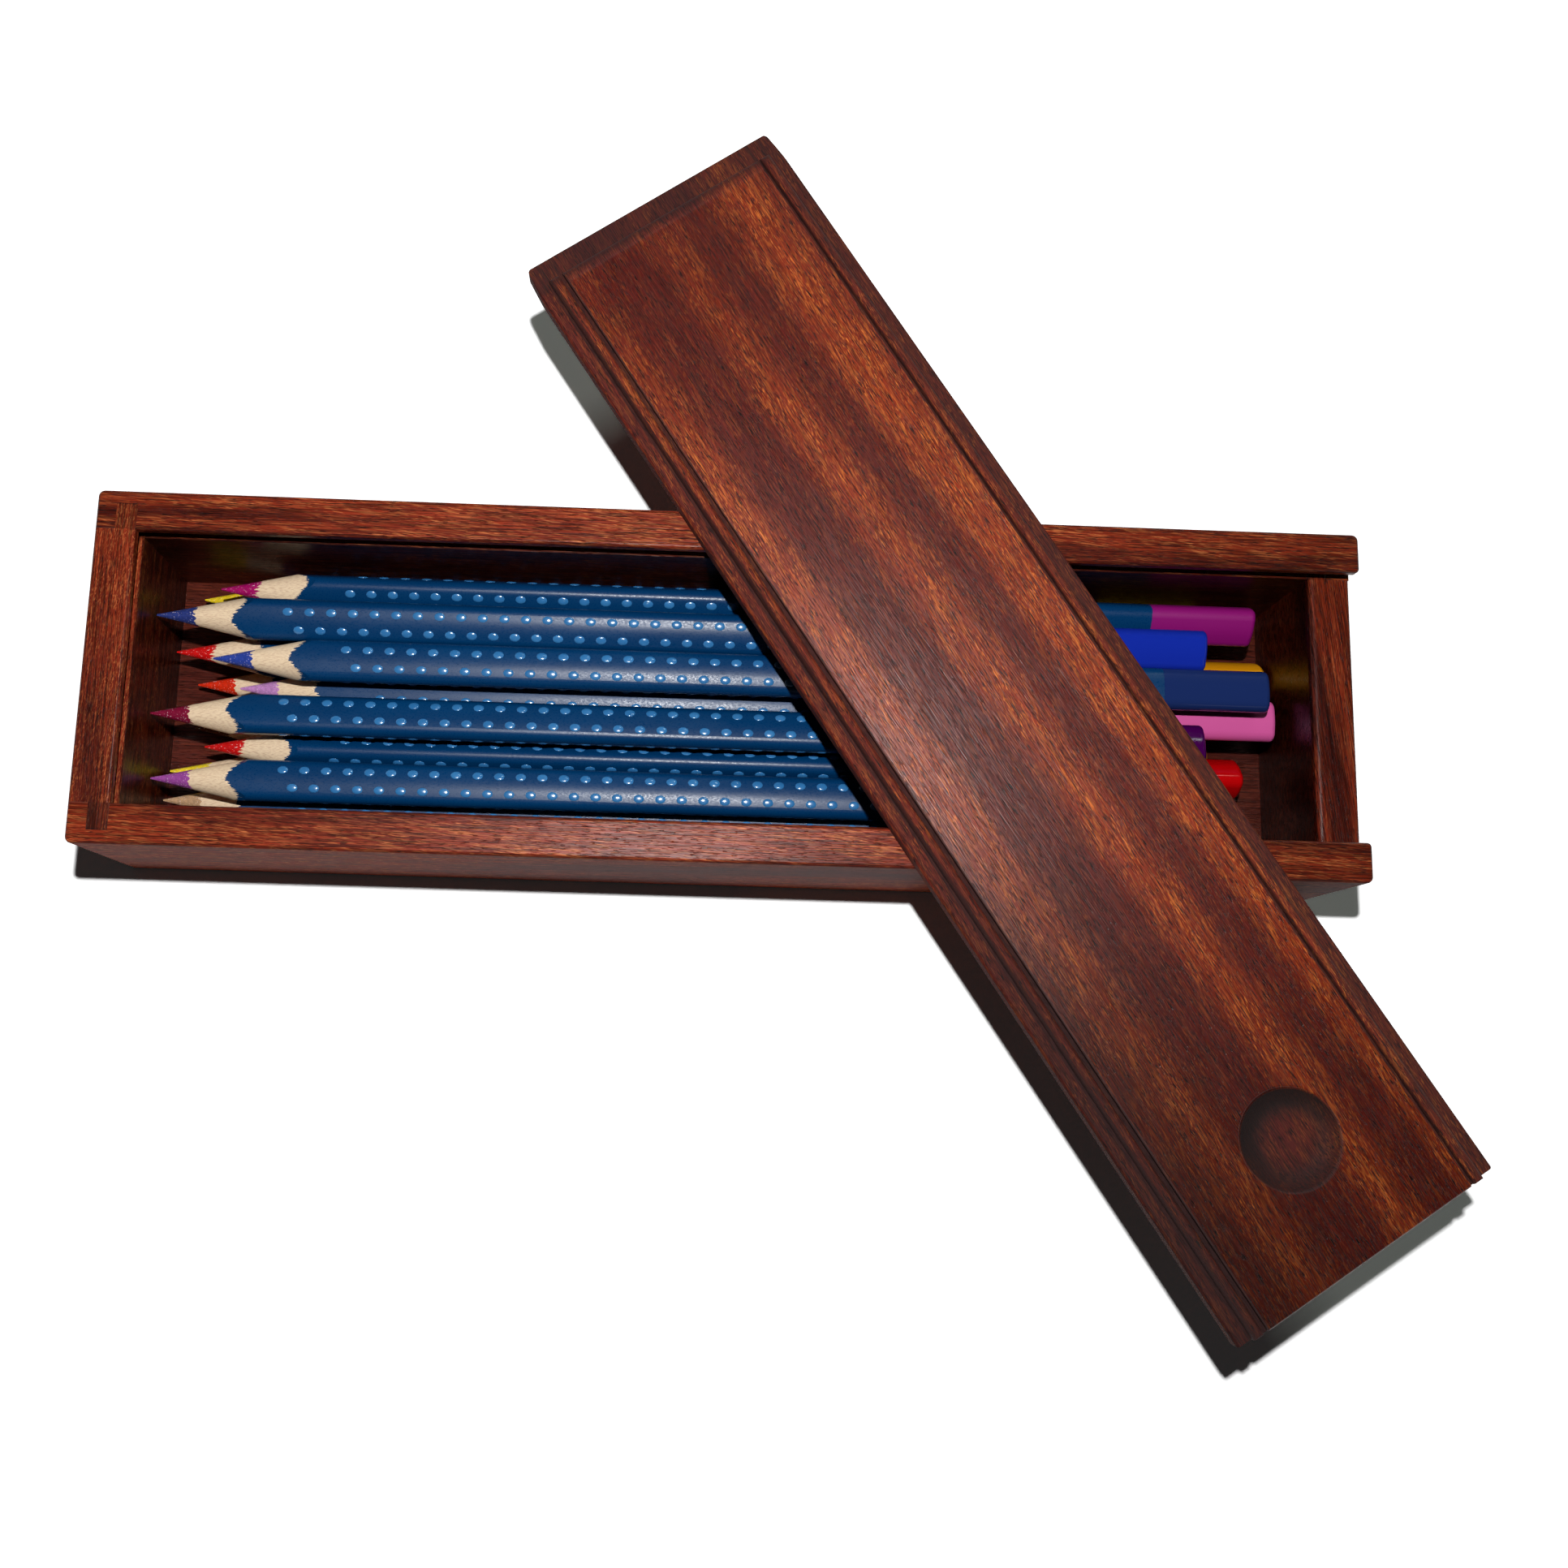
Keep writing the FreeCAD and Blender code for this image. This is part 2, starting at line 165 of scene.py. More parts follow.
# In all these settings a patch is a noise: its size along the three axes in mm, its detail and, if it isn't
# 0.5, its roughness. A step is where a soft change begins and ends, and soft how far beside an edge it does.
woodGrain = dict(
    slant=0.12, fleckWidth=0.17, fleckDepth=0.6, fleckDetail=1.5, fleckRoughness=0.6, fleckStep=(0.52, 0.64),
    longTimes=3.0, longWidth=0.45, longDepth=1.0, longDetail=2.0, longStep=(0.50, 0.70), longShare=0.75,
    clusterPatch=((7.0, 1.7, 3.0), 2.0), clusterStep=(0.36, 0.64), leastBetween=0.30, leastInDark=0.12,
    fibrePatch=((9.0, 0.16, 0.6), 2.0), fibreStep=(0.32, 0.68), lift=1.02,
    porePatch=((1.7, 0.13, 0.35), 1.0), poreStep=(0.42, 0.34),
    sheenPatch=((5.0, 0.8, 5.0), 3.0), sheen=(0.24, 0.40), fibreHeight=0.45, poreHeight=0.75,
    reliefStrength=0.7, reliefDepth=0.09)


def makeWoodFigure():
    # Coordinates come in mm, with x along the grain and y across it.
    # Band is 1 in an orange ribbon and 0 in a purple one.
    tree, given, put = newGroup("woodFigure", [
        ("Vector", "NodeSocketVector", None),
        ("Band", "NodeSocketFloat", None),
        ("Dark", "NodeSocketColor", None),
        ("Middle", "NodeSocketColor", None),
        ("Fleck", "NodeSocketColor", None),
        ("Fleck Length", "NodeSocketFloat", None),
        ("Fleck Amount", "NodeSocketFloat", None),
        ("Pore Amount", "NodeSocketFloat", None),
        ("Fibre Amount", "NodeSocketFloat", None),
    ], [("Color", "NodeSocketColor"), ("Roughness", "NodeSocketFloat"), ("Height", "NodeSocketFloat")])
    grain = woodGrain
    vector = given["Vector"]
    band = given["Band"]

    # Thin and long flecks lie a little aslant of the grain, in loose clusters
    axes = splitAxes(tree, vector)
    across = calc(tree, "MULTIPLY_ADD", axes["X"], grain["slant"], axes["Y"])
    slanted = joinAxes(tree, x=axes["X"], y=across, z=axes["Z"])
    thinSize = joinAxes(tree, x=given["Fleck Length"], y=grain["fleckWidth"], z=grain["fleckDepth"])
    thin = noise(tree, slanted, thinSize, grain["fleckDetail"], grain["fleckRoughness"])
    longLength = calc(tree, "MULTIPLY", given["Fleck Length"], grain["longTimes"])
    longSize = joinAxes(tree, x=longLength, y=grain["longWidth"], z=grain["longDepth"])
    long = noise(tree, slanted, longSize, grain["longDetail"])
    cluster = softStep(tree, noise(tree, slanted, *grain["clusterPatch"]), *grain["clusterStep"])
    longFleck = calc(tree, "MULTIPLY", softStep(tree, long, *grain["longStep"]), grain["longShare"])
    fleck = calc(tree, "MAXIMUM", softStep(tree, thin, *grain["fleckStep"]), longFleck)
    fibre = noise(tree, vector, *grain["fibrePatch"])
    pore = softStep(tree, noise(tree, vector, *grain["porePatch"]), *grain["poreStep"])

    base = mixColour(tree, band, given["Dark"], given["Middle"])
    inBand = calc(tree, "MULTIPLY_ADD", band, 1 - grain["leastInDark"], grain["leastInDark"])
    inCluster = calc(tree, "MULTIPLY_ADD", cluster, 1 - grain["leastBetween"], grain["leastBetween"])
    bright = calc(tree, "MULTIPLY", inBand, inCluster)
    bright = calc(tree, "MULTIPLY", calc(tree, "MULTIPLY", bright, given["Fleck Amount"]), fleck)
    base = mixColour(tree, bright, base, given["Fleck"])
    swing = calc(tree, "SUBTRACT", softStep(tree, fibre, *grain["fibreStep"]), 0.5)
    swingSize = calc(tree, "MULTIPLY", given["Fibre Amount"], 2.0)
    shade = calc(tree, "MULTIPLY_ADD", swing, swingSize, grain["lift"])
    clear = calc(tree, "SUBTRACT", 1.0, calc(tree, "MULTIPLY", pore, given["Pore Amount"]))
    shade = calc(tree, "MULTIPLY", shade, clear)
    tree.links.new(scaled(tree, base, shade), put["Color"])
    sheen = mixValue(tree, noise(tree, vector, *grain["sheenPatch"]), *grain["sheen"])
    tree.links.new(sheen, put["Roughness"])
    height = calc(tree, "SUBTRACT", calc(tree, "MULTIPLY", fibre, grain["fibreHeight"]),
                  calc(tree, "MULTIPLY", pore, grain["poreHeight"]))
    tree.links.new(height, put["Height"])
    return tree


edgeLook = dict(
    darkWidth=1.0, darkening=0.6, darkTone="#16080c", darkPatch=((3.0, 3.0, 3.0), 3.0),
    rubWidth=0.28, rub=0.5, rubTone="#7d4638", rubPatch=((5.0, 5.0, 5.0), 4.0), rubStep=(0.52, 0.66))


def makeEdgeWear():
    # Darker along the edges of a board between two corners, rubbed paler here and there on the edge
    tree, given, put = newGroup("edgeWear", [
        ("Vector", "NodeSocketVector", None),
        ("Color", "NodeSocketColor", None),
        ("Low", "NodeSocketVector", None),
        ("High", "NodeSocketVector", None),
        ("Dark Width", "NodeSocketFloat", edgeLook["darkWidth"]),
        ("Rub Width", "NodeSocketFloat", edgeLook["rubWidth"]),
        ("Rub Color", "NodeSocketColor", srgb(edgeLook["rubTone"])),
    ], [("Color", "NodeSocketColor")])
    vector = given["Vector"]
    fromLow = vectorCalc(tree, "SUBTRACT", vector, given["Low"])
    fromHigh = vectorCalc(tree, "SUBTRACT", given["High"], vector)
    a, b, c = splitAxes(tree, vectorCalc(tree, "MINIMUM", fromLow, fromHigh))
    # The middle one of three distances is the distance to the nearest edge
    middle = calc(tree, "MAXIMUM", calc(tree, "MINIMUM", a, b),
                  calc(tree, "MINIMUM", calc(tree, "MAXIMUM", a, b), c))
    width = calc(tree, "MULTIPLY", given["Dark Width"], noise(tree, vector, *edgeLook["darkPatch"]))
    darkening = softStep(tree, middle, width, 0.0, 0.0, edgeLook["darkening"])
    darker = mixColour(tree, darkening, given["Color"], srgb(edgeLook["darkTone"]))
    rubbed = softStep(tree, middle, given["Rub Width"], 0.0)
    spots = softStep(tree, noise(tree, vector, *edgeLook["rubPatch"]), *edgeLook["rubStep"])
    paler = calc(tree, "MULTIPLY", calc(tree, "MULTIPLY", rubbed, spots), edgeLook["rub"])
    tree.links.new(mixColour(tree, paler, darker, given["Rub Color"]), put["Color"])
    return tree


woodFigure = makeWoodFigure()
edgeWear = makeEdgeWear()

# turn is the grain's direction in degrees from the box's length, and shift picks another piece of the timber
woodBoards = {
    "far_side_wall": dict(turn=0, shift=(40, 3, 0), bandWidth=5.0, fleckLength=2.4, fleckAmount=0.85,
                          poreAmount=0.7, orange=0.05, tone="rim"),
    "near_side_wall": dict(turn=0, shift=(310, 17, 5), bandWidth=5.0, fleckLength=2.4, fleckAmount=0.85,
                           poreAmount=0.7, orange=0.05, tone="rim"),
    "back_wall": dict(turn=90, shift=(120, 60, 9), bandWidth=9.0, fleckLength=0.6, fleckAmount=0.85,
                      poreAmount=0.7, orange=0.15, tone="rim"),
    "front_wall": dict(turn=97, shift=(700, 31, 2), bandWidth=4.0, fleckLength=1.6, fleckAmount=0.40,
                       poreAmount=0.7, orange=0.02, tone="rim"),
    "floor": dict(turn=0, shift=(500, 90, 7), bandWidth=14.0, fleckLength=1.4, fleckAmount=0.3,
                  poreAmount=0.6, orange=0.0, tone="floor"),
    "lid": dict(turn=-55.71, shift=(0, 0, 0), fleckLength=1.3, fleckAmount=1.0, poreAmount=0.9, tone="lid"),
}
woodTones = {
    "rim": dict(dark="#46130c", middle="#7a2814", fleck="#b8683a", gloss=0.12, fibre=0.62),
    "floor": dict(dark="#3c110c", middle="#542016", fleck="#74381f", gloss=0.1, fibre=0.45),
    "lid": dict(dark="#50120e", middle="#862c11", fleck="#d0702e", gloss=0.32, fibre=0.42),
}
lacquerIor = 1.5  # of the finish on wood, casings and bumps


# The lid's ribbons: (mm from its middle line, how orange)
lidRibbons = [(-25, 0.25), (-19.5, 0.3), (-16.5, 0.8), (-13, 0.85), (-10, 0.15), (-6, 0.05), (-2.5, 0.08),
              (0, 0.6), (2.5, 0.9), (5, 0.5), (7.5, 0.1), (11.5, 0.12), (14, 0.85), (18, 0.95), (20.5, 0.5),
              (25, 0.3)]
ribbonLook = dict(drift=0.05, waver=3.5, waverPatch=((130, 18, 30), 1.0), faintStep=(-98.0, -45.0), faint=0.3,
                  strongStep=(9.0, 14.0))


def ribbonBand(tree, vector):
    # The lid's ribbons drift across it and waver
    axes = splitAxes(tree, vector)
    waver = calc(tree, "SUBTRACT", noise(tree, vector, *ribbonLook["waverPatch"]), 0.5)
    across = calc(tree, "SUBTRACT", axes["Y"], calc(tree, "MULTIPLY", axes["X"], ribbonLook["drift"]))
    across = calc(tree, "MULTIPLY_ADD", waver, ribbonLook["waver"], across)
    (low, lowOrange), (high, highOrange) = lidRibbons[0], lidRibbons[-1]
    ramp = addNode(tree, "ShaderNodeValToRGB", {0: evenStep(tree, across, low, high)})
    stops = ramp.color_ramp.elements
    for place, orange in lidRibbons[1:-1]:
        stops.new((place - low) / (high - low)).color = (orange, orange, orange, 1)
    stops[0].color = (lowOrange, lowOrange, lowOrange, 1)
    stops[-1].color = (highOrange, highOrange, highOrange, 1)
    # At the end away from the dish all are faint but the one along the far side
    faint = softStep(tree, axes["X"], *ribbonLook["faintStep"], ribbonLook["faint"], 1.0)
    strong = softStep(tree, axes["Y"], *ribbonLook["strongStep"])
    return calc(tree, "MULTIPLY", ramp.outputs["Color"], mixValue(tree, strong, faint, 1.0))


plainLook = dict(waver=9.0, waverPatch=((70, 30, 40), 1.0), length=120.0, depth=30.0, detail=1.5,
                 orangeStep=(0.40, 0.62))


def plainBand(tree, vector, width, orange):
    waver = calc(tree, "SUBTRACT", noise(tree, vector, *plainLook["waverPatch"]), 0.5)
    sideways = joinAxes(tree, y=calc(tree, "MULTIPLY", waver, plainLook["waver"]))
    bent = vectorCalc(tree, "ADD", vector, sideways)
    bands = noise(tree, bent, (plainLook["length"], width, plainLook["depth"]), plainLook["detail"])
    low, high = plainLook["orangeStep"]
    return softStep(tree, bands, low - orange, high - orange)


# Places on the lid are in mm from its middle, with x towards the thumb dish
lidPlaces = dict(length=200.3, width=47.8, thick=4.7, dishAlong=79.65, dishHalf=7.75, shoulderAt=-96.3,
                 quirkAt=19.27, beadTo=21.55)
# Painted shade on the lid: towards the thumb end, where it steps down and in the dish
lidShade = dict(
    thumbFrom=20.0, thumb=0.55, cornerAcross=(4.0, -16.0), cornerAlong=(0.0, 48.0), corner=0.5,
    farStep=(19.0, 21.5), far=0.6, nearStep=(-21.0, -22.0), near=0.25, quirkStep=(0.60, 0.30), quirk=0.8,
    shoulderStep=(1.9, 0.4), shoulder=0.7, tongueStep=(-94.0, -96.0), tongue=0.6, darkTone="#240b0a",
    dishSoft=(0.2, -0.3), wallSoft=(-5.5, -2.0), wallAlong=(6.0, -5.0), wall=(0.6, 0.95), dishShadeTone="#120504",
    dullSoft=(-0.6, -0.2), dullTongue=(-94.0, -95.0), sidesSoft=(-0.5, -0.2), dull=(0.78, 1.0))


def besideEdge(tree, value, edge, soft, *ends):
    # A soft step that begins and ends so far beside an edge
    return softStep(tree, value, edge + soft[0], edge + soft[1], *ends)


def lidShading(tree, place, colour, roughness):
    # Painted shade: darker towards the thumb end, most of all in its near corner
    shade = lidShade
    axes = splitAxes(tree, place)
    thumb = softStep(tree, axes["X"], shade["thumbFrom"], lidPlaces["length"] / 2, 1.0, shade["thumb"])
    corner = calc(tree, "MULTIPLY", softStep(tree, axes["Y"], *shade["cornerAcross"]),
                  softStep(tree, axes["X"], *shade["cornerAlong"]))
    corner = calc(tree, "SUBTRACT", 1.0, calc(tree, "MULTIPLY", corner, shade["corner"]))
    colour = scaled(tree, colour, calc(tree, "MULTIPLY", thumb, corner))
    # Painted shade on the lower strips along both sides
    far = softStep(tree, axes["Y"], *shade["farStep"], 0.0, shade["far"])
    near = softStep(tree, axes["Y"], *shade["nearStep"], 0.0, shade["near"])

    # Painted shade where the lid steps down: in the quirks, on the strips along both sides, at the shoulder
    # and on the tongue of the far end
    off = calc(tree, "ABSOLUTE", axes["Y"])
    fromQuirk = calc(tree, "ABSOLUTE", calc(tree, "SUBTRACT", off, lidPlaces["quirkAt"]))
    fromBead = calc(tree, "ABSOLUTE", calc(tree, "SUBTRACT", off, lidPlaces["beadTo"]))
    fromQuirk = calc(tree, "MINIMUM", fromQuirk, fromBead)
    quirk = softStep(tree, fromQuirk, *shade["quirkStep"], 0.0, shade["quirk"])
    fromShoulder = calc(tree, "ABSOLUTE", calc(tree, "SUBTRACT", axes["X"], lidPlaces["shoulderAt"]))
    shoulder = softStep(tree, fromShoulder, *shade["shoulderStep"], 0.0, shade["shoulder"])
    tongue = softStep(tree, axes["X"], *shade["tongueStep"], 0.0, shade["tongue"])
    darkening = calc(tree, "MAXIMUM", calc(tree, "MAXIMUM", far, near), calc(tree, "MAXIMUM", quirk, shoulder))
    darkening = calc(tree, "MAXIMUM", darkening, tongue)
    colour = mixColour(tree, darkening, colour, srgb(shade["darkTone"]))

    # Painted shade in the dish, whose wall is darkest on the side away from the thumb end
    alongDish = calc(tree, "SUBTRACT", axes["X"], lidPlaces["dishAlong"])
    fromDish = vectorCalc(tree, "LENGTH", joinAxes(tree, x=alongDish, y=axes["Y"]))
    dish = besideEdge(tree, fromDish, lidPlaces["dishHalf"], shade["dishSoft"])
    wall = besideEdge(tree, fromDish, lidPlaces["dishHalf"], shade["wallSoft"])
    wall = calc(tree, "MULTIPLY", wall, softStep(tree, alongDish, *shade["wallAlong"], *shade["wall"]))
    colour = mixColour(tree, calc(tree, "MULTIPLY", dish, wall), colour, srgb(shade["dishShadeTone"]))

    # Only the raised panel has gloss: the beads, the sides, the tongue and the dish are duller
    edge = besideEdge(tree, off, lidPlaces["quirkAt"], shade["dullSoft"])
    dull = calc(tree, "MAXIMUM", calc(tree, "MAXIMUM", edge, dish),
                softStep(tree, axes["X"], *shade["dullTongue"]))
    sides = besideEdge(tree, off, lidPlaces["width"] / 2, shade["sidesSoft"], *shade["dull"])
    return colour, mixValue(tree, dull, roughness, sides)


# Places in the box are in mm from the middle of its underside
# Painted shade in the box: darker on the inner faces and towards the front
boxInside = dict(
    halfWide=22.35, back=-95.75, front=95.35, top=29.25, insideStep=(-0.02, 0.05), shade=0.30,
    tongueFrom=22.1, tongueSoft=(-0.1, 0.1), tongue=0.4, tongueTone="#35160c",
    frontShadeStep=(25.0, 102.0), frontShade=0.66, outerFrom=28.0, outerSoft=(0.0, 0.3), outerRough=0.7)


def boxShading(tree, place, colour, roughness, node):
    # Painted shade, darker towards the front and on the inner faces, and the end walls' tongues as darker end
    # grain
    axes = splitAxes(tree, place)
    # Painted shade towards the front, where the lamp's light falls off
    frontShaded = softStep(tree, axes["X"], *boxInside["frontShadeStep"], 1.0, boxInside["frontShade"])
    colour = scaled(tree, colour, frontShaded)
    if node == "floor":
        return colour, roughness
    off = calc(tree, "ABSOLUTE", axes["Y"])
    outer = besideEdge(tree, off, boxInside["outerFrom"], boxInside["outerSoft"])
    roughness = mixValue(tree, outer, roughness, boxInside["outerRough"])
    fromSides = calc(tree, "SUBTRACT", boxInside["halfWide"], off)
    fromBack = calc(tree, "SUBTRACT", axes["X"], boxInside["back"])
    fromFront = calc(tree, "SUBTRACT", boxInside["front"], axes["X"])
    fromTop = calc(tree, "SUBTRACT", boxInside["top"], axes["Z"])
    margin = calc(tree, "MINIMUM", fromFront, fromTop)
    margin = calc(tree, "MINIMUM", fromSides, calc(tree, "MINIMUM", fromBack, margin))
    # Painted shade on the inner faces
    inside = softStep(tree, margin, *boxInside["insideStep"])
    if node in ("back_wall", "front_wall"):
        tongue = besideEdge(tree, off, boxInside["tongueFrom"], boxInside["tongueSoft"], 0.0,
                            boxInside["tongue"])
        colour = mixColour(tree, tongue, colour, srgb(boxInside["tongueTone"]))
    return scaled(tree, colour, mixValue(tree, inside, 1.0, boxInside["shade"])), roughness


def makeWood(node, look):
    tone = woodTones[look["tone"]]
    material, tree, shader = newMaterial(node + "_wood", Specular_IOR_Level=tone["gloss"], IOR=lacquerIor)
    low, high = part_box(node)
    position = addNode(tree, "ShaderNodeTexCoord").outputs["Object"]
    turned = addNode(tree, "ShaderNodeMapping", {
        "Vector": position, "Location": (low + high) / 2, "Rotation": (0, 0, math.radians(look["turn"])),
        "Scale": (mm, mm, mm)}, vector_type="TEXTURE").outputs[0]
    moved = vectorCalc(tree, "ADD", turned, look["shift"])
    isLid = node == "lid"
    band = ribbonBand(tree, turned) if isLid else plainBand(tree, moved, look["bandWidth"], look["orange"])
    figure = groupNode(tree, woodFigure, {
        "Vector": moved, "Band": band, "Dark": srgb(tone["dark"]), "Middle": srgb(tone["middle"]),
        "Fleck": srgb(tone["fleck"]), "Fleck Length": look["fleckLength"],
        "Fleck Amount": look["fleckAmount"], "Pore Amount": look["poreAmount"],
        "Fibre Amount": tone["fibre"]})
    colour, roughness = figure["Color"], figure["Roughness"]
    if isLid:
        place = turned
        boxHigh = Vector((lidPlaces["length"], lidPlaces["width"], lidPlaces["thick"])) / 2
        boxLow = -boxHigh
        colour, roughness = lidShading(tree, place, colour, roughness)
    else:
        place = scaled(tree, position, 1 / mm)
        boxLow, boxHigh = low / mm, high / mm
        colour, roughness = boxShading(tree, place, colour, roughness, node)
    worn = groupNode(tree, edgeWear, {"Vector": place, "Color": colour, "Low": boxLow, "High": boxHigh})
    finishMaterial(tree, shader, worn["Color"], roughness, figure["Height"], woodGrain)
    return material


for node, look in woodBoards.items():
    dress(node, makeWood(node, look))
print("wood done")


# Pencils

# In mm, with places from the tip. reach is from the axis to a face, and faceRound the face's radius.
pencilShape = dict(
    length=175.0, reach=2.95, faceRound=8.8, dipLength=18.0, paintFrom=14.05, paintWave=1.05, paintSoft=0.05,
    teeth=1.25, teethPatch=((1.1, 0.22, 0.22), 3.0, 0.7), leadBare=6.8, leadWave=5.0, leadSoft=0.06,
    leadPatch=((3.0, 0.8, 0.8), 3.0), streakPatch=((12.0, 0.15, 0.15), 1.0))

# Lead, dipped end and its roughness, and the turn about the pencil's own axis in degrees
pencilLooks = {
    "yellow": dict(lead="#ffdc28", dip="#e9cc1a", dipRough=0.2, turn=180),
    "orange": dict(lead="#f0900c", dip="#f0a010", dipRough=0.2, turn=180),
    "brown": dict(lead="#6b3a1c", dip="#6b3a1c", dipRough=0.2, turn=180),
    "lemon": dict(lead="#ffe02e", dip="#f0de30", dipRough=0.2, turn=180),
    "green": dict(lead="#1f8a3c", dip="#1a7a34", dipRough=0.2, turn=-5),
    "vermilion": dict(lead="#e83010", dip="#d83a14", dipRough=0.2, turn=0),
    "ochre": dict(lead="#c8a07a", dip="#a07858", dipRough=0.2, turn=1),
    "magenta": dict(lead="#b4106a", dip="#8e0c70", dipRough=0.5, turn=164),
    "scarlet": dict(lead="#e01212", dip="#c81414", dipRough=0.16, turn=175),
    "pink": dict(lead="#d090d0", dip="#d4589c", dipRough=0.35, turn=2),
    "red": dict(lead="#d81414", dip="#b80408", dipRough=0.12, turn=190),
    "indigo": dict(lead="#303f86", dip="#142ca4", dipRough=0.12, turn=19),
    "blue": dict(lead="#3048a8", dip="#1a2c60", dipRough=0.12, turn=-1),
    "purple": dict(lead="#8a1238", dip="#400048", dipRough=0.14, turn=-16),
    "orchid": dict(lead="#a850a8", dip="#a850a8", dipRough=0.2, turn=-4),
}


def pencilPlace(name):
    # The tip's place, and the axis's, from the lead's box
    low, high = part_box(name + "_pencil_lead")
    return Vector((low.x, (low.y + high.y) / 2, (low.z + high.z) / 2))


def pencilSpace(tree, name):
    # Millimetres from the tip, turned with the pencil
    position = addNode(tree, "ShaderNodeTexCoord").outputs["Object"]
    turn = math.radians(pencilLooks[name]["turn"])
    return addNode(tree, "ShaderNodeMapping", {
        "Vector": position, "Location": pencilPlace(name), "Rotation": (turn, 0, 0),
        "Scale": (mm, mm, mm)}, vector_type="TEXTURE").outputs[0]


def makeSharpening():
    # Lead, bare wood and paint follow each other from the tip.
    # The paint reaches further towards it at the middle of a face.
    shape = pencilShape
    tree, given, put = newGroup("sharpening", [
        ("Vector", "NodeSocketVector", None),
        ("Paint From", "NodeSocketFloat", shape["paintFrom"]),
        ("Paint Wave", "NodeSocketFloat", shape["paintWave"]),
        ("Teeth", "NodeSocketFloat", shape["teeth"]),
        ("Lead Bare", "NodeSocketFloat", shape["leadBare"]),
        ("Lead Wave", "NodeSocketFloat", shape["leadWave"]),
    ], [("Bare", "NodeSocketFloat"), ("Past Lead", "NodeSocketFloat"), ("Streaks", "NodeSocketFloat")])
    vector = given["Vector"]
    axes = splitAxes(tree, vector)
    out = vectorCalc(tree, "LENGTH", joinAxes(tree, y=axes["Y"], z=axes["Z"]))
    rise = calc(tree, "DIVIDE", axes["Z"], calc(tree, "MAXIMUM", out, 0.01))  # never by zero
    # Minus the sine of three times the angle: 1 at the middle of a face and -1 at a corner
    squared = calc(tree, "MULTIPLY", calc(tree, "MULTIPLY", rise, rise), 4.0)
    facing = calc(tree, "MULTIPLY", rise, calc(tree, "SUBTRACT", squared, 3.0))
    teeth = calc(tree, "SUBTRACT", noise(tree, vector, *shape["teethPatch"]), 0.5)
    paintWave = calc(tree, "MULTIPLY", facing, given["Paint Wave"])
    paintEdge = calc(tree, "SUBTRACT", given["Paint From"], paintWave)
    teethSize = calc(tree, "MULTIPLY", given["Teeth"], 2.0)
    paintEdge = calc(tree, "MULTIPLY_ADD", teeth, teethSize, paintEdge)
    paintLow = calc(tree, "SUBTRACT", paintEdge, shape["paintSoft"])
    paintHigh = calc(tree, "ADD", paintEdge, shape["paintSoft"])
    tree.links.new(softStep(tree, axes["X"], paintHigh, paintLow), put["Bare"])
    wave = calc(tree, "SUBTRACT", noise(tree, vector, *shape["leadPatch"]), 0.5)
    leadEdge = calc(tree, "MULTIPLY_ADD", wave, given["Lead Wave"], given["Lead Bare"])
    leadLow = calc(tree, "SUBTRACT", leadEdge, shape["leadSoft"])
    leadHigh = calc(tree, "ADD", leadEdge, shape["leadSoft"])
    tree.links.new(softStep(tree, axes["X"], leadLow, leadHigh), put["Past Lead"])
    tree.links.new(noise(tree, vector, *shape["streakPatch"]), put["Streaks"])
    return tree


sharpening = makeSharpening()

lacquer = dict(
    body="#003d6d", deep="#002d58", cloudPatch=((22, 4, 4), 3.0), specular=0.28,
    dipPatch=((0.6, 0.6, 0.6), 2.0), dipWaver=0.3, dipSoft=0.15, dipRelief=0.25,
    dustTone="#9fb4c8", dustPatch=((0.8, 0.3, 0.3), 4.0, 0.7), dustStep=(0.64, 0.80), dust=0.04,
    gritPatch=((0.35, 0.22, 0.22), 3.0, 0.7), gritStep=(0.35, 0.65), rough=(0.26, 0.40),
    reliefStrength=0.30, reliefDepth=0.03)
bareLook = dict(tone="#f6dcba", streakTone="#c08e66", streakStep=(0.42, 0.70), streaks=0.4, rough=0.7,
                relief=0.3)
# The lead's pale specks are painted glints
leadLook = dict(
    grainPatch=((0.5, 0.3, 0.3), 4.0, 0.65), grainStep=(0.35, 0.60), deep=0.7, rough=(0.26, 0.50),
    sparklePatch=((0.26, 0.22, 0.22), 1.0), sparkleStep=(0.67, 0.72), sparkle=0.8, glintTone="#fbeef2",
    sparkleGloss=0.2, specular=0.35, reliefStrength=0.6, reliefDepth=0.08)


def bareWood(tree, sharp):
    streak = softStep(tree, sharp["Streaks"], *bareLook["streakStep"])
    share = calc(tree, "MULTIPLY", streak, bareLook["streaks"])
    return mixColour(tree, share, srgb(bareLook["tone"]), srgb(bareLook["streakTone"]))


def leadColours(tree, vector, colour):
    # A deeper and a full tone, with tiny pale specks that are painted glints
    grain = noise(tree, vector, *leadLook["grainPatch"])
    full = srgb(colour)
    deep = tuple(part * leadLook["deep"] for part in full[:3]) + (1.0,)
    toned = mixColour(tree, softStep(tree, grain, *leadLook["grainStep"]), deep, full)
    sparkle = softStep(tree, noise(tree, vector, *leadLook["sparklePatch"]), *leadLook["sparkleStep"])
    share = calc(tree, "MULTIPLY", sparkle, leadLook["sparkle"])
    return mixColour(tree, share, toned, srgb(leadLook["glintTone"])), grain, sparkle


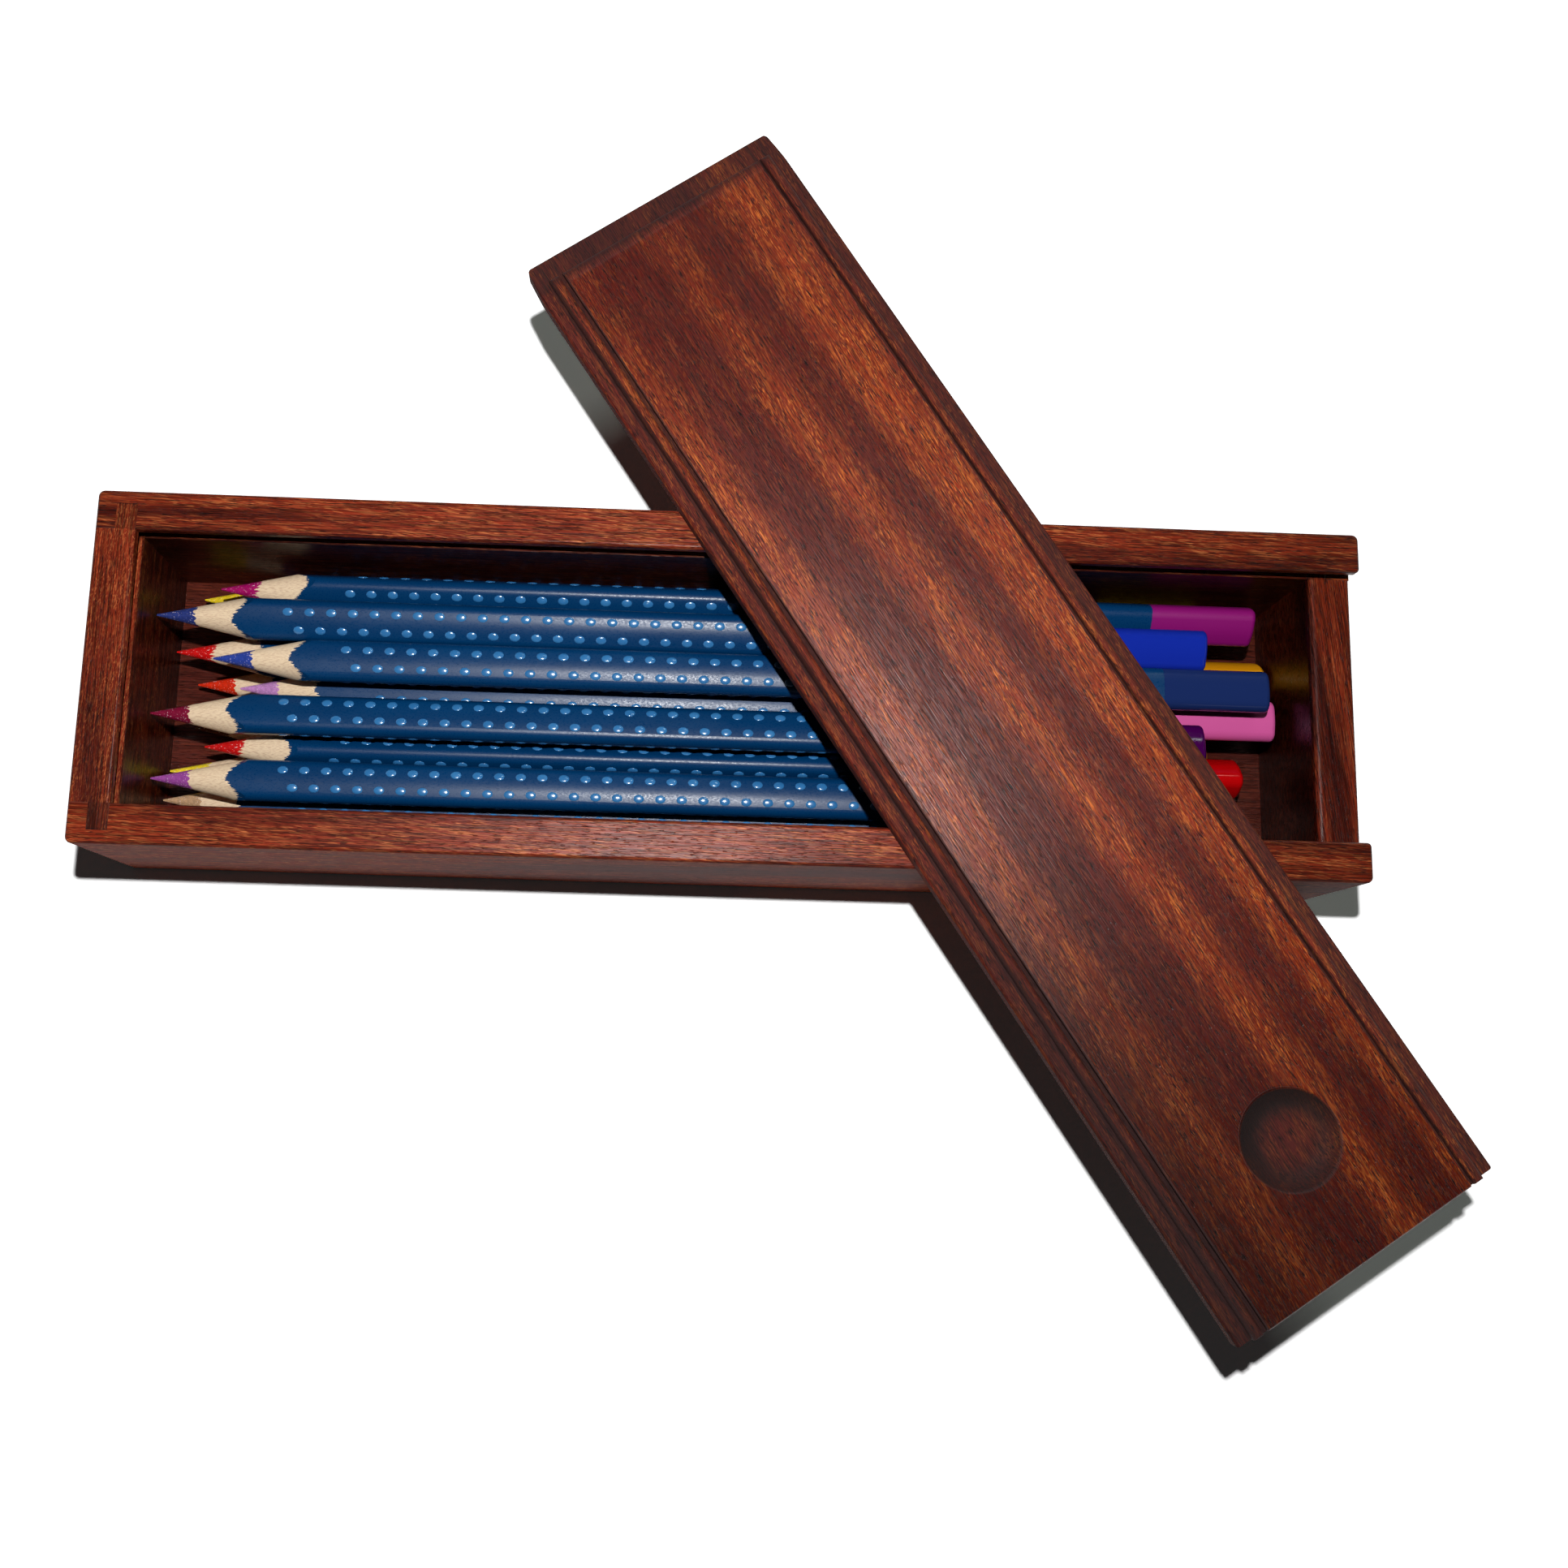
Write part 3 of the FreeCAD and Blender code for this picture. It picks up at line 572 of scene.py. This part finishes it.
def makeCasingLook(name):
    look = pencilLooks[name]
    material, tree, shader = newMaterial(
        name + "_lacquer", Specular_IOR_Level=lacquer["specular"], IOR=lacquerIor)
    vector = pencilSpace(tree, name)
    sharp = groupNode(tree, sharpening, {"Vector": vector})
    along = splitAxes(tree, vector)["X"]
    cloud = noise(tree, vector, *lacquer["cloudPatch"])
    body = mixColour(tree, cloud, srgb(lacquer["deep"]), srgb(lacquer["body"]))
    dipStart = calc(tree, "MULTIPLY_ADD", noise(tree, vector, *lacquer["dipPatch"]), lacquer["dipWaver"],
                    pencilShape["length"] - pencilShape["dipLength"])
    dipped = softStep(tree, along, dipStart, calc(tree, "ADD", dipStart, lacquer["dipSoft"]))
    painted = mixColour(tree, dipped, body, srgb(look["dip"]))
    dust = softStep(tree, noise(tree, vector, *lacquer["dustPatch"]), *lacquer["dustStep"])
    dusty = calc(tree, "MULTIPLY", dust, lacquer["dust"])
    painted = mixColour(tree, dusty, painted, srgb(lacquer["dustTone"]))
    colour = mixColour(tree, sharp["Bare"], painted, bareWood(tree, sharp))
    # The casing's tip has the lead's colour, so that the wavy edge goes over both
    colour = mixColour(tree, sharp["Past Lead"], leadColours(tree, vector, look["lead"])[0], colour)
    grit = noise(tree, vector, *lacquer["gritPatch"])
    rough = mixValue(tree, softStep(tree, grit, *lacquer["gritStep"]), *lacquer["rough"])
    rough = mixValue(tree, dipped, rough, look["dipRough"])
    rough = mixValue(tree, sharp["Bare"], rough, bareLook["rough"])
    relief = mixValue(tree, dipped, grit, calc(tree, "MULTIPLY", grit, lacquer["dipRelief"]))
    bareRelief = calc(tree, "MULTIPLY", sharp["Streaks"], bareLook["relief"])
    relief = mixValue(tree, sharp["Bare"], relief, bareRelief)
    finishMaterial(tree, shader, colour, rough, relief, lacquer)
    return material


def makeLeadLook(name):
    material, tree, shader = newMaterial(name + "_lead", Specular_IOR_Level=leadLook["specular"])
    vector = pencilSpace(tree, name)
    sharp = groupNode(tree, sharpening, {"Vector": vector})
    waxy, grain, sparkle = leadColours(tree, vector, pencilLooks[name]["lead"])
    colour = mixColour(tree, sharp["Past Lead"], waxy, bareWood(tree, sharp))
    # Glossier where the glints are painted
    rough = calc(tree, "SUBTRACT", mixValue(tree, grain, *leadLook["rough"]),
                 calc(tree, "MULTIPLY", sparkle, leadLook["sparkleGloss"]))
    finishMaterial(tree, shader, colour, rough, grain, leadLook)
    return material


for name in pencilLooks:
    dress(name + "_pencil_casing", makeCasingLook(name))
    dress(name + "_pencil_lead", makeLeadLook(name))
print("pencils painted")


# Grip bumps: small ovals in two staggered rows on each face, with their sizes in mm

gripBump = dict(
    count=32, pitch=3.56, first=22.2, rowOut=1.5, length=1.9, width=1.45, height=0.14, sunk=0.05,
    tightHeight=0.02, tight=["green"], segments=10, rings=6,
    tones=("#25659f", "#3f88c4"), cloudPatch=((6, 2, 2), 3.0), finePatch=((0.3, 0.3, 0.3), 2.0),
    rough=(0.16, 0.26), specular=0.9, reliefStrength=0.25, reliefDepth=0.02)


def bumpSize(height):
    # Half the length and the width, and the height above the dome's middle, which is sunk in the face
    return (gripBump["length"] / 2 * mm, gripBump["width"] / 2 * mm, (height + gripBump["sunk"]) * mm)


def makeBumpLook():
    material, tree, shader = newMaterial(
        "grip_bump", Specular_IOR_Level=gripBump["specular"], IOR=lacquerIor)
    position = addNode(tree, "ShaderNodeTexCoord").outputs["Object"]
    inMm = scaled(tree, position, 1 / mm)
    cloud = noise(tree, inMm, *gripBump["cloudPatch"])
    fine = noise(tree, inMm, *gripBump["finePatch"])
    colour = mixColour(tree, cloud, *[srgb(tone) for tone in gripBump["tones"]])
    finishMaterial(tree, shader, colour, mixValue(tree, cloud, *gripBump["rough"]), fine, gripBump)
    return material


def makeGripTree(material):
    tree, given, put = newGroup("gripBumps", [
        ("Count", "NodeSocketInt", gripBump["count"]),
        ("Pitch", "NodeSocketFloat", gripBump["pitch"] * mm),
        ("First", "NodeSocketFloat", gripBump["first"] * mm),
        ("Row Out", "NodeSocketFloat", gripBump["rowOut"] * mm),
        ("Face Height", "NodeSocketFloat", pencilShape["reach"] * mm),
        ("Face Round", "NodeSocketFloat", pencilShape["faceRound"] * mm),
        ("Bump Size", "NodeSocketVector", bumpSize(gripBump["height"])),
        ("Sunk", "NodeSocketFloat", gripBump["sunk"] * mm),
        ("Turn", "NodeSocketFloat", 0.0),
        ("Tip", "NodeSocketVector", (0, 0, 0)),
    ], [("Geometry", "NodeSocketGeometry")], "GeometryNodeTree")

    dome = addNode(tree, "GeometryNodeMeshUVSphere", {
        "Segments": gripBump["segments"], "Rings": gripBump["rings"], "Radius": 1.0})
    domeSized = addNode(tree, "GeometryNodeTransform", {
        "Geometry": dome.outputs["Mesh"], "Scale": given["Bump Size"]})
    step = joinAxes(tree, x=given["Pitch"])
    joined = addNode(tree, "GeometryNodeJoinGeometry")
    for side in (1, -1):
        # The rows are half a step apart, one on each side of the face's middle
        out = calc(tree, "MULTIPLY", given["Row Out"], float(side))
        start = calc(tree, "MULTIPLY_ADD", given["Pitch"], 0.25 * (1 - side), given["First"])
        fall = calc(tree, "DIVIDE", calc(tree, "MULTIPLY", out, out),
                    calc(tree, "MULTIPLY", given["Face Round"], 2.0))
        up = calc(tree, "SUBTRACT", calc(tree, "SUBTRACT", given["Face Height"], fall), given["Sunk"])
        row = addNode(tree, "GeometryNodeMeshLine", {
            "Count": given["Count"], "Offset": step, "Start Location": joinAxes(tree, x=start, y=out, z=up)},
            mode="OFFSET")
        lean = calc(tree, "MULTIPLY", calc(tree, "DIVIDE", out, given["Face Round"]), -1.0)
        bumps = addNode(tree, "GeometryNodeInstanceOnPoints", {
            "Points": row.outputs["Mesh"], "Instance": domeSized.outputs["Geometry"],
            "Rotation": joinAxes(tree, x=lean)})
        tree.links.new(bumps.outputs["Instances"], joined.inputs["Geometry"])
    around = addNode(tree, "GeometryNodeJoinGeometry")
    for face in range(3):
        turned = addNode(tree, "GeometryNodeTransform", {
            "Geometry": joined.outputs["Geometry"], "Rotation": (math.radians(120 * face), 0, 0)})
        tree.links.new(turned.outputs["Geometry"], around.inputs["Geometry"])
    placed = addNode(tree, "GeometryNodeTransform", {
        "Geometry": around.outputs["Geometry"], "Translation": given["Tip"],
        "Rotation": joinAxes(tree, x=given["Turn"])})
    real = addNode(tree, "GeometryNodeRealizeInstances", {"Geometry": placed.outputs["Geometry"]})
    smooth = addNode(tree, "GeometryNodeSetShadeSmooth", {"Geometry": real.outputs["Geometry"]})
    coloured = addNode(tree, "GeometryNodeSetMaterial", {
        "Geometry": smooth.outputs["Geometry"], "Material": material})
    tree.links.new(coloured.outputs["Geometry"], put["Geometry"])
    return tree


def bakeTree(name, tree, values):
    # A tree's result as a plain mesh, with the modifier gone
    maker = addObject(name, bpy.data.meshes.new(name + "_start"))
    modifier = maker.modifiers.new("maker", "NODES")
    modifier.node_group = tree
    for item in tree.interface.items_tree:
        if item.in_out == "INPUT" and item.name in values:
            modifier[item.identifier] = values[item.name]
    evaluated = maker.evaluated_get(bpy.context.evaluated_depsgraph_get())
    mesh = bpy.data.meshes.new_from_object(evaluated)
    maker.modifiers.remove(modifier)
    maker.data = mesh
    return maker


gripTree = makeGripTree(makeBumpLook())
for name, look in pencilLooks.items():
    # A pencil wedged between two others has low bumps, which slide past theirs
    height = gripBump["tightHeight"] if name in gripBump["tight"] else gripBump["height"]
    bumps = bakeTree(name + "_pencil_grip", gripTree, {
        "Turn": math.radians(look["turn"]), "Tip": pencilPlace(name), "Bump Size": bumpSize(height)})
    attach(bumps, name + "_pencil")
print("grip bumps done")


# Floor, light and camera

def isSeen(tree):
    # 1 for what the camera sees, straight or in a gloss or through glass, without a matt bounce on the way
    path = addNode(tree, "ShaderNodeLightPath").outputs
    mirrored = calc(tree, "MAXIMUM", path["Is Glossy Ray"], path["Is Transmission Ray"])
    seen = calc(tree, "MAXIMUM", path["Is Camera Ray"], mirrored)
    return calc(tree, "MULTIPLY", seen, calc(tree, "LESS_THAN", path["Diffuse Depth"], 0.5))


# The table is white to the camera and darker to the box, on which it throws light
floorLook = dict(size=3.0, below=0.0002, seen=1.6, unseen=0.38, glowStep=(0.155, 0.30))


def makeFloor():
    half = floorLook["size"] / 2
    corners = [(-half, -half, 0), (half, -half, 0), (half, half, 0), (-half, half, 0)]
    mesh = bpy.data.meshes.new("table")
    mesh.from_pydata(corners, [], [(0, 1, 2, 3)])
    table = addObject("table", mesh)
    table.location.z = -floorLook["below"]
    material = bpy.data.materials.new("table")
    material.use_nodes = True
    tree = material.node_tree
    tree.nodes.clear()
    seen = isSeen(tree)
    bright = mixValue(tree, seen, floorLook["unseen"], floorLook["seen"])
    diffuse = addNode(tree, "ShaderNodeBsdfDiffuse", {"Color": bright})
    # Away from the box it glows to the camera as well, and stays white out of the lamp's light
    position = addNode(tree, "ShaderNodeTexCoord").outputs["Object"]
    away = softStep(tree, vectorCalc(tree, "LENGTH", position), *floorLook["glowStep"])
    glow = addNode(tree, "ShaderNodeEmission", {"Strength": calc(tree, "MULTIPLY", seen, away)})
    both = addNode(tree, "ShaderNodeAddShader", {0: diffuse.outputs[0], 1: glow.outputs[0]})
    addNode(tree, "ShaderNodeOutputMaterial", {"Surface": both.outputs[0]})
    mesh.materials.append(material)


makeFloor()

# A small lamp above the box, and a long narrow one high up beyond it
lampLook = dict(place=(-8.6 * mm, -6.5 * mm, 360 * mm), power=4.3, size=4 * mm)
tubeLook = dict(towards=(0.28, 0.65, 0.70), distance=1.0, length=0.36, width=0.022, power=0.8,
                colour=(0.90, 1.0, 0.90))
worldLook = dict(fill=0.012, white=1.0, whiteBelow=0.45, soft=0.1)


def putInPlace(thing, place, right, up, back):
    # A lamp or camera looks away from back
    turn = Matrix((right, up, back)).transposed().to_4x4()
    thing.matrix_world = Matrix.Translation(place) @ turn


def makeLights():
    lamp = bpy.data.lights.new("flash", "POINT")
    lamp.energy = lampLook["power"]
    lamp.shadow_soft_size = lampLook["size"]
    lampObject = addObject("flash", lamp)
    lampObject.location = lampLook["place"]
    lampObject.visible_camera = False

    tube = bpy.data.lights.new("tube", "AREA")
    tube.shape = "RECTANGLE"
    tube.size, tube.size_y = tubeLook["length"], tubeLook["width"]
    tube.energy = tubeLook["power"]
    tube.color = tubeLook["colour"]
    tubeObject = addObject("tube", tube)
    back = Vector(tubeLook["towards"]).normalized()
    up = back.cross(Vector((1, 0, 0))).normalized()
    putInPlace(tubeObject, back * tubeLook["distance"], up.cross(back), up, back)
    tubeObject.visible_camera = False


def makeWorld():
    world = bpy.data.worlds.new("room")
    bpy.context.scene.world = world
    world.use_nodes = True
    tree = world.node_tree
    tree.nodes.clear()
    # White walls that the camera sees, under a dim ceiling
    direction = addNode(tree, "ShaderNodeTexCoord").outputs["Generated"]
    height = splitAxes(tree, direction)["Z"]
    edge, soft = worldLook["whiteBelow"], worldLook["soft"]
    walls = softStep(tree, height, edge + soft, edge - soft)
    share = calc(tree, "MULTIPLY", isSeen(tree), walls)
    strength = mixValue(tree, share, worldLook["fill"], worldLook["white"])
    background = addNode(tree, "ShaderNodeBackground", {"Color": (1, 1, 1, 1), "Strength": strength})
    addNode(tree, "ShaderNodeOutputWorld", {"Surface": background.outputs[0]})


makeLights()
makeWorld()

cameraLook = dict(place=(-9.15 * mm, -59.98 * mm, 299.85 * mm), look=(0.0236, 0.191, -0.9813),
                  up=(-0.0329, 0.9812, 0.1902), lens=39.46, sensor=36.0, shiftX=0.0468, shiftY=-0.0316,
                  clipStart=10 * mm)


def makeCamera():
    data = bpy.data.cameras.new("camera")
    data.lens = cameraLook["lens"]
    data.sensor_width = cameraLook["sensor"]
    data.shift_x = cameraLook["shiftX"]
    data.shift_y = cameraLook["shiftY"]
    data.clip_start = cameraLook["clipStart"]
    camera = addObject("camera", data)
    back = -Vector(cameraLook["look"]).normalized()
    right = Vector(cameraLook["up"]).cross(back).normalized()
    putInPlace(camera, Vector(cameraLook["place"]), right, back.cross(right), back)
    bpy.context.scene.camera = camera


makeCamera()
bpy.context.scene.view_settings.view_transform = "Standard"
print("floor, light and camera done")
